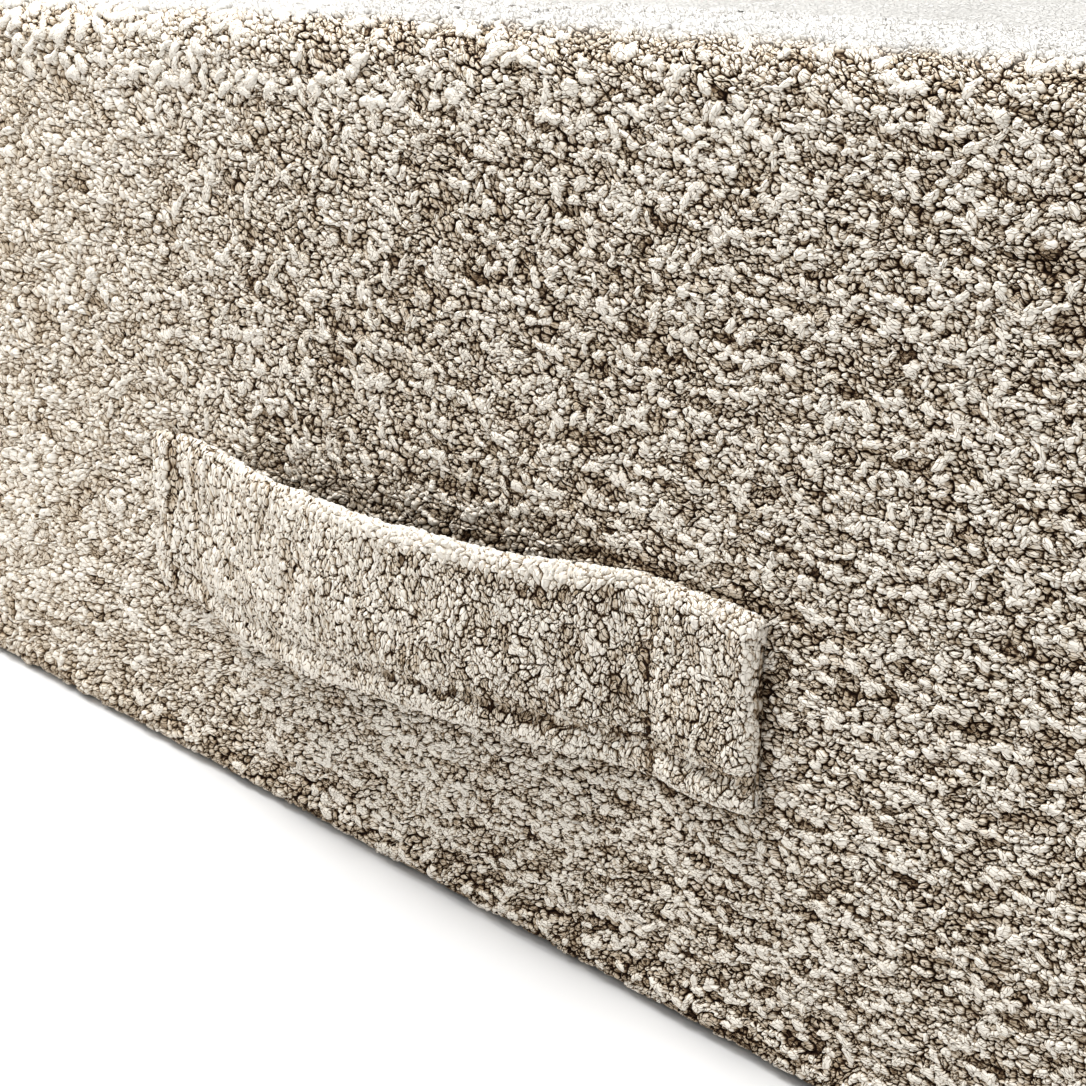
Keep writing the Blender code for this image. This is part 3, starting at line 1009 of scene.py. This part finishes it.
def front_plane(q):
    a = np.interp(q[..., 0], TABLE_U, TABLE_A)
    return np.stack([a, MID_S + q[..., 1] * spacing_s(a)], -1)


S_LOW, S_HIGH = -0.0125, FLAT_S + ARC + 0.070
A_END = FLAT_A + ARC * 0.80


def on_front(u, v):
    flat = front_plane(np.stack([u, v], -1))
    return (flat[..., 1] > S_LOW) & (flat[..., 1] < S_HIGH) & (np.abs(flat[..., 0]) < A_END)


def pulled(a, s):
    """Where the yarn runs along the face: low on it, and where the strap's right end pulls on the cover."""
    z = s + R
    low = 1 - smooth(z, 0.045, 0.095)
    end = smooth(a, 0.135, 0.150) * (1 - smooth(a, 0.20, 0.26)) * smooth(z, 0.02, 0.05) * (1 - smooth(z, 0.115, 0.15))
    return np.clip(np.maximum(low * smooth(a, -0.32, -0.15), end), 0, 1)


turn_wide, turn_fine = waves2(31, 14, 5, 11), waves2(32, 14, 2.2, 4.5)


def right_side(a):
    """How far the yarn runs in slubs along the face, as it does towards the right."""
    return smooth(a, -0.16, 0.16)


def front_course(u, v):
    flat = front_plane(np.stack([u, v], -1))
    loose = (1 - 0.85 * pulled(flat[..., 0], flat[..., 1])) * (1 - 0.60 * right_side(flat[..., 0]))
    return loose * (0.9 * turn_wide(u, v) + 0.55 * turn_fine(u, v))


def front_reach(u, v):
    flat = front_plane(np.stack([u, v], -1))
    w = pulled(flat[..., 0], flat[..., 1])
    w = np.maximum(w, 0.75 * right_side(flat[..., 0]))
    return 1.15 + 1.10 * w, 0.88 - 0.08 * w


def strap_room(a, s, rise):
    """Loops are pressed flat where the strap lies on them."""
    z = s + R
    row = table_at(np.clip(a, -0.1344, 0.1405) * 1000)
    inside = smooth(a, -0.1350, -0.1330) * (1 - smooth(a, 0.1395, 0.1412))
    inside = inside * smooth(z, row["low"] / 1000 - 0.001, row["low"] / 1000 + 0.001) * (1 - smooth(z, row["high"] / 1000 - 0.001, row["high"] / 1000 + 0.001))
    room = row["gap"] / 1000 + 0.0003
    return rise + (np.minimum(rise, room) - rise) * inside


def painted_strap_shade(a, s):
    """Painted shade: 1 in the crease where the cover meets the sewn-down ends of the strap, and where the strap's
    shadow falls above and below its open middle.
    """
    z = s + R
    row = table_at(np.clip(a, -0.1344, 0.1405) * 1000)
    dx = np.maximum(np.maximum(-0.1350 - a, a - 0.1412), 0)
    dz = np.maximum(np.maximum(row["low"] / 1000 - z, z - row["high"] / 1000), 0)
    held = 1 - smooth(row["gap"], 1.5, 7.0)
    crease = held * (1 - smooth(np.hypot(dx, dz), 0.0008, 0.0045)) * (0.35 + 0.65 * smooth(a, 0.0, 0.12))
    over = z - row["high"] / 1000 + row["gap"] / 1000 * 0.55
    above = (1 - smooth(over, 0.001, 0.021)) * smooth(over, -0.06, -0.02)
    under = (1 - smooth(row["low"] / 1000 - z, 0.0, 0.013)) * smooth(z - row["low"] / 1000, -0.03, 0.0)
    behind = smooth(row["gap"], 1.0, 8.0) * np.maximum(above, under) * (1 - 0.5 * smooth(a, 0.02, 0.09))
    return np.maximum(0.6 * crease, 0.48 * behind)


def tuck(a, s):
    """A short crease that runs down from the upper right of the face."""
    off = (s + R) - (0.2127 - 0.112 * (a - 0.1975))
    return np.exp(-(off / 0.0016) ** 2) * smooth(a, 0.190, 0.203)


def front_sink(a, s):
    """The separate loops go down into the cloth where their field ends."""
    side = smooth(np.abs(a), FLAT_A + ARC * 0.35, A_END)
    top = smooth(s, S_HIGH - 0.030, S_HIGH)
    low = 1 - smooth(s, S_LOW, S_LOW + 0.002)
    # Round the foot the loops are pushed out by the cushion's weight.
    foot = smooth(s, -0.0125, -0.0075) * (1 - smooth(s, -0.006, 0.004))
    return 0.0032 * np.maximum(np.maximum(side, top), low) - 0.0020 * foot * (1 - side) + 0.0008 * tuck(a, s)


u_low, u_high = np.interp([-A_END, A_END], TABLE_A, TABLE_U)
v_low, v_high = (S_LOW - MID_S) / spacing_s(0.3), (S_HIGH - MID_S) / spacing_s(0.3)
front = Cells(u_low, u_high, v_low, v_high, front_course, seed=40, clump=(1.6, 1.35), reach=front_reach, merge=0.75, keep=on_front)
flat = front_plane(front.site)
scale = spacing_s(flat[:, 0])
# Rows of lighter, thicker knots over a lower ground, as the yarn's slubs fall.
slub_field = waves2(51, 40, 2.6, 5.0, stretch=2.2)

knit_field = waves2(53, 30, 2.6, 5.0, stretch=1.8)
mu, mv = front.middle[:, 0], front.middle[:, 1]
slub = smooth(slub_field(mu, mv), 0.3, 1.2)

fine_side = smooth(flat[:, 0], -0.28, 0.0)  # the far left is even and soft
knit = smooth(knit_field(front.site[:, 0], front.site[:, 1]), 1.0, 1.4) * fine_side
c01, c02 = hashed(front.clump, 5), hashed(front.clump, 6)
k01, k02 = hashed(front.curl, 7), hashed(front.curl, 8)
dome_ = 0.76 + 0.42 * (1 - np.clip((front.off + 0.45) / 1.5, 0, 1) ** 2)
run = 0.35 + 0.65 * right_side(flat[:, 0])
# The slubs lie in uneven rows along the face, with lower ground between them.
row_wander, row_fade = waves2(57, 14, 7, 16), waves2(58, 14, 6, 14)


def row_of(u, v):
    """1 on a row of slubs, -1 between two rows, weaker where the rows fade out."""
    return np.cos((v + 0.75 * row_wander(u * 0.55, v)) * (2 * math.pi / 3.1)) * smooth(row_fade(u * 0.5, v), -1.0, 0.5)


rows_ = row_of(front.site[:, 0], front.site[:, 1]) * right_side(flat[:, 0])
height = scale * 0.60 * (0.95 + 0.24 * (slub - 0.30) * run + 0.38 * (c01 - 0.5)) * dome_ * (0.80 + 0.40 * k01) * (1 - 0.30 * knit) * (1 + 0.16 * rows_)
fat = hashed(front.clump, 21) < 0.07 + 0.10 * right_side(flat[:, 0])
front.big = fat
height = np.maximum(height * np.where(fat, 1.06, 1.0), scale * 0.14)
front.heights(height, knit)
# Low loops are painted nearly as light on top as high ones; the painted shade is in the grooves between them.
unit = scale * (0.71 + 0.50 * (height / (scale * 0.57) - 1) * 0.71 * fine_side)
where, _, _, facing = front_cover(flat[:, 0], flat[:, 1])
flat_up = smooth(facing[:, 2], 0.72, 0.98)
# Painted shade in the creases round the strap's ends and in its shadow above and below its open middle.
strap_shade = painted_strap_shade(flat[:, 0], flat[:, 1])
# The top's tone differences are kept low, as painted light for the top washed out by the overhead light.
tone = (0.20 * (slub - 0.30) * run + 0.16 * (c02 - 0.5) + 0.13 * (k02 - 0.5)) * (1.45 - 0.45 * fine_side) * (1 - 0.60 * flat_up)
tone = tone + 0.06 * rows_ * (1 - flat_up)
tone = np.maximum(tone, -0.11 + 0.30 * (tone + 0.11))
# Painted light and shade: the strap's painted shadow; the top painted darker, more so further back, against the strong
# overhead light; the face a little darker from the middle rightwards than at the far left; a band about the middle
# painted lighter against the shade the side light leaves on the loops' sides; and a painted highlight just below the
# top edge.
tone = tone - 0.21 * strap_shade - (0.040 + 0.060 * smooth(flat[:, 1], FLAT_S + ARC + 0.006, FLAT_S + ARC + 0.045)) * flat_up - 0.02 * (1 - fine_side) - 0.15 * fat - 0.060 * fine_side * (1 - flat_up)
tone = tone + 0.085 * np.exp(-(((flat[:, 0] + 0.025) / 0.095) ** 2)) * (1 - flat_up) + 0.03 * smooth(flat[:, 1], FLAT_S - 0.045, FLAT_S - 0.010) * (1 - flat_up) * fine_side
# Painted light and shade: the pile is painted a little lighter where it turns over the top edge, painted shadow darkens
# it down at the floor, painted shade lies low on the face below the strap, and painted shade darkens the crease of the
# tuck.
turning = smooth(facing[:, 2], 0.02, 0.20) * (1 - smooth(facing[:, 2], 0.55, 0.85))
footing = 1 - smooth(where[:, 2], 0.003, 0.024)
lower = (1 - smooth(where[:, 2], 0.015, 0.065)) * smooth(flat[:, 0], -0.40, -0.25) * (1 - smooth(flat[:, 0], 0.06, 0.18))
tone = tone + 0.02 * turning * fine_side - 0.15 * footing - 0.045 * lower - 0.16 * tuck(flat[:, 0], flat[:, 1])
# Painted shade in the grooves is weaker at the far left and on the top, which the overhead light washes out.
bite = (1.06 - 0.44 * (1 - fine_side) * (1 - flat_up)) * (1 - 0.52 * flat_up)
close = near_view(where)
over_top = flat[:, 1] > FLAT_S + ARC * 0.8
zz = flat[:, 1] + R
rows = table_at(np.clip(flat[:, 0], -0.1344, 0.1405) * 1000)
hidden = (np.abs(flat[:, 0] - 0.003) < 0.130) & (zz > rows["low"] / 1000 + 0.004) & (zz < rows["high"] / 1000 - 0.004 - rows["gap"] / 1000 * 0.75)
total = 0
for label, mask, detail in (("near", close & ~over_top & ~hidden, 2), ("top", close & over_top, 1), ("far", ~close | hidden, 0)):
    index = np.flatnonzero(mask)
    order = index[np.argsort(flat[index, 0])]
    parts = int(np.ceil(len(order) * {3: 36.5, 2: 24.4, 1: 12.2, 0: 6.1}[detail] / 185000))
    for i, chunk in enumerate(np.array_split(order, parts)):
        pick = np.zeros(front.n, bool)
        pick[chunk] = True
        # Plain cones show more of their grooves than full loops do.
        plain = 0.16 * fine_side * (1 - flat_up) if detail == 0 else 0.0
        soft = 1 - 0.28 * (1 - flat_up) if detail == 0 else 1.0
        # The cloth that faces up takes the washed-out top colour, painted light for the overhead light.
        o = cells_mesh(f"cushion_loops_{label}_{i}", front, pick, front_plane, front_cover, height, unit, tone + plain, bite * soft, flat_up, detail, 100 + i, sink=front_sink, press=strap_room)
        o.data.materials.append(yarn)
        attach(o, ROOT)
        total += len(o.data.polygons)
        print("PIECE", o.name, len(o.data.polygons))

# ---------------------------------------------------------------- longer curls that lie over the loops
CURL_T = np.array([-0.84, -0.44, 0.0, 0.44, 0.84])
CURL_C = np.array([-1.0, -0.62, 0.0, 0.62, 1.0])
CURL_TRI = []
for i_ in range(4):
    for j_ in range(4):
        k_ = i_ * 5 + j_
        CURL_TRI += [(k_, k_ + 5, k_ + 6), (k_, k_ + 6, k_ + 1)]
    CURL_TRI += [(25, i_, i_ + 1), (26, 21 + i_, 20 + i_)]
CURL_TRI = np.array(CURL_TRI)


def curls_mesh(name, a0, s0, turn, half, wide, bend, low, high, tone, bite, washed_top, seed):
    """One joined mesh of short bent strands, each a half tube with tapered ends. Lengths in metres; bend is half the angle through which a strand turns."""
    r = np.random.default_rng(seed)
    n = len(a0)
    t = np.concatenate([np.repeat(CURL_T, 5), [-1, 1]])[None]
    c = np.concatenate([np.tile(CURL_C, 5), [0, 0]])[None]
    body = np.sqrt(1 - np.abs(t) ** 2.6) * (1 + 0.24 * np.sin(2.4 * t + r.uniform(0, 6.3, (n, 1))))
    swing = bend[:, None] * t
    x = half[:, None] * np.sin(swing) / bend[:, None]
    y = half[:, None] * ((1 - np.cos(swing)) / bend[:, None] - 0.17 * bend[:, None])
    side = c * wide[:, None] * body
    x, y = x - side * np.sin(swing), y + side * np.cos(swing)
    x, y = x + 0.04 * half[:, None] * r.normal(size=x.shape), y + 0.10 * wide[:, None] * r.normal(size=x.shape)
    co, si = np.cos(turn)[:, None], np.sin(turn)[:, None]
    a, s = a0[:, None] + x * co - y * si, s0[:, None] + x * si + y * co
    dome = np.where(np.abs(c) > 0.9, 0.0, np.where(np.abs(c) > 0.3, 0.78, 1.0)) * np.where(np.abs(t) > 0.9, 0.0, np.where(np.abs(t) > 0.6, 0.82, 1.0))
    z = low[:, None] + (high - low)[:, None] * dome * (1 + 0.08 * r.normal(size=x.shape))
    rise = z.reshape(-1) - front_sink(a.reshape(-1), s.reshape(-1))
    p, _, _, nn = front_cover(a.reshape(-1), s.reshape(-1))
    p = p + nn * rise[:, None]
    # Painted shade: a strand's edges and ends sit low on the ramp, so they are painted dark.
    lift = 0.26 + np.where(np.abs(c) > 0.9, 0.0, np.where(np.abs(c) > 0.3, 0.78, 0.66)) * np.where(np.abs(t) > 0.9, 0.1, 1.0)
    lift = np.broadcast_to(lift, x.shape) * (1 + 0.05 * r.normal(size=x.shape))
    own = r.uniform(0, 60, (n, 1))
    grain = np.stack([x / 0.0022 + own, y / 0.0016 + own * 1.7, np.broadcast_to(own, x.shape)], -1)
    tri = (CURL_TRI[None] + (np.arange(n) * 27)[:, None, None]).reshape(-1, 3)
    mesh = bpy.data.meshes.new(name)
    mesh.vertices.add(n * 27)
    mesh.vertices.foreach_set("co", p.reshape(-1).astype(np.float32))
    mesh.loops.add(len(tri) * 3)
    mesh.loops.foreach_set("vertex_index", tri.reshape(-1).astype(np.int32))
    mesh.polygons.add(len(tri))
    mesh.polygons.foreach_set("loop_start", np.arange(0, len(tri) * 3, 3, dtype=np.int32))
    mesh.update(calc_edges=True)
    mesh.polygons.foreach_set("use_smooth", np.ones(len(tri), bool))
    for key, value in (("lift", lift), ("tone", np.repeat(tone, 27)), ("bite", np.repeat(bite, 27)), ("washed_top", np.repeat(washed_top, 27))):
        mesh.attributes.new(key, "FLOAT", "POINT").data.foreach_set("value", value.reshape(-1).astype(np.float32))
    mesh.attributes.new("grain", "FLOAT_VECTOR", "POINT").data.foreach_set("vector", grain.reshape(-1).astype(np.float32))
    uv = np.stack([a.reshape(-1), s.reshape(-1)], -1)
    low_, high_ = uv.min(0), uv.max(0)
    uv = 0.004 + 0.992 * (uv - low_) / (high_ - low_).max()
    mesh.uv_layers.new(name="OFBake").data.foreach_set("uv", uv[tri.reshape(-1)].reshape(-1).astype(np.float32))
    obj = bpy.data.objects.new(name, mesh)
    bpy.context.scene.collection.objects.link(obj)
    return obj


dice = np.random.default_rng(61)
gv, gu = np.mgrid[v_low:v_high:1.9, u_low:u_high:2.1]
gu = gu + 1.05 * (np.arange(len(gu)) % 2)[:, None] + dice.uniform(-0.8, 0.8, gu.shape)
gv = gv + dice.uniform(-0.7, 0.7, gu.shape)
gu, gv = gu.reshape(-1), gv.reshape(-1)
place_ = front_plane(front.warp(np.stack([gu, gv], -1)))
ga, gs = place_[:, 0], place_[:, 1]
gp = front_cover(ga, gs)[0]
grow = table_at(np.clip(ga, -0.1344, 0.1405) * 1000)
gz = gs + R
clear = (ga < -0.140) | (ga > 0.146) | (gz < grow["low"] / 1000 - 0.004) | (gz > grow["high"] / 1000 + 0.004)
grows = row_of(gu, gv)
odds = smooth(ga, -0.22, 0.02) * np.clip(0.66 + 0.55 * grows, 0.12, 1.0)
wanted_ = near_view(gp) & clear & (gz > 0.006) & (gs < FLAT_S - 0.001) & (dice.uniform(0, 1, len(ga)) < odds) & (tuck(ga, gs) < 0.2)
pick_ = np.flatnonzero(wanted_)
n_ = len(pick_)
ga, gs, gu, gv, grows = ga[pick_], gs[pick_], gu[pick_], gv[pick_], grows[pick_]
gscale = spacing_s(ga)
cross = dice.uniform(0, 1, n_) < 0.12
lean = 0.8 * front_course(gu, gv) + dice.normal(0, 0.30, n_) + np.where(cross, 1.3, 0.0)
ghalf = spacing_a(ga) * dice.uniform(0.50, 1.15, n_) * np.where(cross, 0.72, 1.0)
gwide = gscale * dice.uniform(0.48, 0.90, n_)
gbend = dice.uniform(0.25, 1.1, n_) * np.where(dice.uniform(0, 1, n_) < 0.5, -1, 1)
ghigh = gscale * dice.uniform(0.66, 0.86, n_)
# Painted shade: strands are darker beside the strap and down at the floor.
gfloor_shade = 1 - smooth(gp[pick_, 2], 0.003, 0.024)
gtone = 0.24 * (dice.uniform(0, 1, n_) - 0.5) + 0.05 * grows - 0.24 * painted_strap_shade(ga, gs) - 0.09 * gfloor_shade - 0.10
curl_rows = [(ga, gs, lean, ghalf, gwide, gbend, gscale * 0.36, ghigh, gtone, np.full(n_, 1.04), np.zeros(n_))]
# Larger ones lie across the top edge and make it ragged.
n_ = 220
ga = np.linspace(-0.34, 0.245, n_) + dice.uniform(-0.0015, 0.0015, n_)
gs = FLAT_S + ARC * dice.uniform(-0.60, 0.80, n_)
gscale = spacing_s(ga)
gwashed_top = smooth(front_cover(ga, gs)[3][:, 2], 0.72, 0.98)
# Painted light: curls on the top are toned down and take the washed-out top colour and weaker painted groove shade.
curl_rows.append((
    ga, gs, dice.normal(0, 0.55, n_), spacing_a(ga) * dice.uniform(0.65, 1.35, n_), gscale * dice.uniform(0.60, 1.05, n_),
    dice.uniform(0.3, 1.1, n_) * np.where(dice.uniform(0, 1, n_) < 0.5, -1, 1), gscale * 0.36, gscale * dice.uniform(0.74, 1.0, n_),
    0.03 + 0.16 * (dice.uniform(0, 1, n_) - 0.5) - 0.07 * gwashed_top, 1.04 * (1 - 0.52 * gwashed_top), gwashed_top,
))
o = curls_mesh("cushion_curls", *(np.concatenate(c_) for c_ in zip(*curl_rows)), 62)
o.data.materials.append(yarn)
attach(o, ROOT)
total += len(o.data.polygons)
print("PIECE", o.name, len(o.data.polygons), n_)

# ---------------------------------------------------------------- loops on the strap
A_MIN, A_MAX = GRID_A[0] + 0.0001, GRID_A[-1] - 0.0001
S_AT = np.array([-0.14, -0.10, -0.05, 0.0, 0.05, 0.10, 0.15])
S_WIDE = np.array([3.5, 3.2, 2.7, 2.4, 2.2, 2.05, 1.95]) * 0.001
S_TALL = np.array([4.2, 4.0, 3.5, 3.0, 2.7, 2.45, 2.35]) * 0.001
STABLE_A = np.linspace(-0.16, 0.16, 800)
STABLE_U = np.concatenate([[0], np.cumsum(1 / np.interp((STABLE_A[1:] + STABLE_A[:-1]) / 2, S_AT, S_WIDE)) * (STABLE_A[1] - STABLE_A[0])])


def strap_plane(q):
    a = np.interp(q[..., 0], STABLE_U, STABLE_A)
    return np.stack([a, 0.5 + q[..., 1] * np.interp(a, S_AT, S_TALL) / GIRTH], -1)


def on_strap(u, v):
    f = strap_plane(np.stack([u, v], -1))
    return (f[..., 0] > A_MIN) & (f[..., 0] < A_MAX) & (f[..., 1] > 0.16) & (f[..., 1] < 0.84)


strap_turn = waves2(71, 14, 4, 9)


def strap_course(u, v):
    f = strap_plane(np.stack([u, v], -1))
    return math.pi / 2 + (0.22 + 0.35 * smooth(f[..., 0], -0.02, 0.10)) * strap_turn(u, v)


def strap_reach(u, v):
    f = strap_plane(np.stack([u, v], -1))
    w = smooth(f[..., 0], -0.03, 0.08)
    return 2.0 - 0.7 * w, 0.62 + 0.15 * w


su0, su1 = np.interp([A_MIN, A_MAX], STABLE_A, STABLE_U)
band = Cells(su0, su1, -0.36 * GIRTH / 0.0015, 0.36 * GIRTH / 0.0015, strap_course, seed=80, clump=(1.35, 2.3), reach=strap_reach, merge=0.85, longest=5, keep=on_strap)
sflat = strap_plane(band.site)
sscale = np.interp(sflat[:, 0], S_AT, S_TALL)
right_ = smooth(sflat[:, 0], -0.06, 0.06)
c01, c02 = hashed(band.clump, 5), hashed(band.clump, 6)
k01, k02 = hashed(band.curl, 7), hashed(band.curl, 8)
splace, _, _, sface = strap_place(sflat[:, 0], sflat[:, 1])
sx, sz = splace[:, 0] * 1000, splace[:, 2] * 1000
srow = table_at(np.clip(sx, -134.4, 140.5))
from_top, from_low = srow["high"] - sz, sz - srow["low"]
# Lines of stitches press the loops down: one along the hem, two across each end.
def line_at(d, wide):
    return np.exp(-(d / wide) ** 2)


# Each line wanders a little and fades in places.
wander = crumple(splace[:, 0] * 1.3, splace[:, 2] * 1.3)
fade = 0.65 + 0.35 * smooth(crumple(splace[:, 0] + 0.5, splace[:, 2] + 0.5), -0.8, 0.8)
hem = line_at(from_low - 9.3 + 0.8 * wander, 1.3) * smooth(sx, -30, 20)
across = np.maximum(line_at(sx - 104 + 1.2 * wander, 1.4), 0.5 * line_at(sx - 118 + 1.5 * wander, 1.5))
tab_left = np.maximum(line_at(sx + 122 + 0.8 * wander, 2.4), 0.6 * line_at(sx + 105 + 0.8 * wander, 1.5))
roll = line_at(from_top - 8.0 + wander, 1.8) * smooth(sx, -20, 30) * (1 - smooth(sx, 100, 108))
sewn = np.clip(np.maximum(np.maximum(hem, across), np.maximum(tab_left, 0.5 * roll)), 0, 1) * fade
crown = (1 - smooth(from_top, 3.5, 7.5)) * smooth(sx, -60, 20) * (1 - 0.5 * smooth(sx, 100, 112))
ridge = np.maximum(line_at(sx - 139, 2.2), line_at(from_low - 3.0, 3.0) * smooth(sx, -60, 0)) * (sface[:, 0] < 0.6)
end_face = smooth(sface[:, 0], 0.55, 0.85)
sheight = sscale * 0.36 * (0.88 + 0.45 * (c01 - 0.5)) * (0.85 + 0.30 * k01) * (1 - 0.45 * sewn) * (1 + 0.35 * crown)
band.heights(sheight, np.zeros(band.n))
# Painted light and shade on the strap: its left part painted lighter, where the side light falls; painted shade in the
# stitched grooves; painted highlights on the rolled crown and the ridges; and the end face, in shade from the side
# light, painted much lighter.
stone = (0.20 * (c02 - 0.5) + 0.12 * (k02 - 0.5)) * (0.6 + 0.4 * right_) + 0.03 * (1 - right_)
stone = stone - 0.15 * sewn + 0.06 * crown + 0.12 * ridge + 0.45 * end_face + 0.03 * (1 - right_) + 0.105
# Painted groove shade is weaker on the crown and at the strap's left.
sbite = (1.25 - 0.16 * (1 - right_)) * (1 - 0.45 * crown)
o = cells_mesh("strap_loops", band, np.ones(band.n, bool), strap_plane, strap_place, sheight, sscale * 0.42, stone, sbite, np.zeros(band.n), 3, 300)
o.data.materials.append(yarn)
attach(o, ROOT)
total += len(o.data.polygons)
print("PIECE strap_loops", len(o.data.polygons), "TOTAL", total, "SKIN", len(skin.data.polygons) * 2)

# ---------------------------------------------------------------- floor and light
floor_mesh = bpy.data.meshes.new("floor")
floor_mesh.from_pydata([(-6, -6, 0), (6, -6, 0), (6, 6, 0), (-6, 6, 0)], [], [(0, 1, 2, 3)])
floor = bpy.data.objects.new("floor", floor_mesh)
bpy.context.scene.collection.objects.link(floor)
mat, nodes, links, shader = new_material("floor")
shader.inputs["Base Color"].default_value = (0.66, 0.66, 0.66, 1)
shader.inputs["Roughness"].default_value = 0.8
floor_mesh.materials.append(mat)

world = bpy.data.worlds.new("studio")
bpy.context.scene.world = world
world.use_nodes = True
world.node_tree.nodes["Background"].inputs[0].default_value = (1, 1, 1, 1)
world.node_tree.nodes["Background"].inputs[1].default_value = 0.30


def area_light(name, at, aim, size, power):
    light = bpy.data.lights.new(name, "AREA")
    light.shape = "SQUARE"
    light.size = size
    light.energy = power
    obj = bpy.data.objects.new(name, light)
    obj.location = at
    obj.rotation_euler = (Vector(aim) - Vector(at)).to_track_quat("-Z", "Y").to_euler()
    bpy.context.scene.collection.objects.link(obj)


area_light("overhead", (-0.4, -0.60, 2.0), (0, 0, 0.1), 1.1, 69)
area_light("side", (-1.2, -1.3, 1.1), (0, -0.3, 0.1), 0.8, 8)
area_light("fill", (1.3, -1.5, 0.8), (0, -0.3, 0.1), 1.4, 6)
bpy.context.scene.view_settings.view_transform = "Standard"
